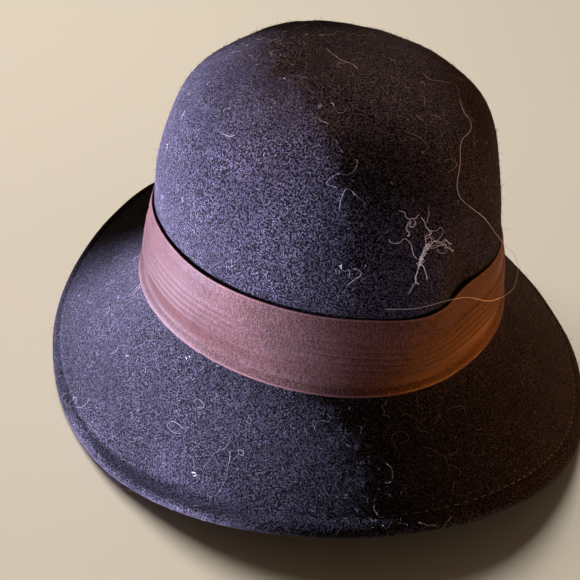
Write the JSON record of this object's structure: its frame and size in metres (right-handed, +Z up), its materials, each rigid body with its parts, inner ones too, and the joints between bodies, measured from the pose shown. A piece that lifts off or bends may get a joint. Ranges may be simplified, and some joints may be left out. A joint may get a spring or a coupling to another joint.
{
  "type": "round-crowned felt fedora",
  "caption": "Dark navy wool felt hat with a round crown, a down-turned brim with a stitched hem and a wide tucked ribbon band, open below for the head.",
  "frame": {"origin": "on the table, under the middle of the hat's bounding box", "axes": "+Z up from the table, -Y towards the front of the brim, +X to the right of someone who looks at its front"},
  "size_m": [0.2724, 0.3211, 0.1601],
  "materials": {
    "felt": "matt, hairy wool felt",
    "ribbon": "satin, finely ribbed ribbon",
    "thread": "matt sewing thread",
    "lint": "pale loose fibres"
  },
  "bodies": {
    "root": {"felt_body": "felt", "hat_band": "ribbon"}
  },
  "joints": []
}
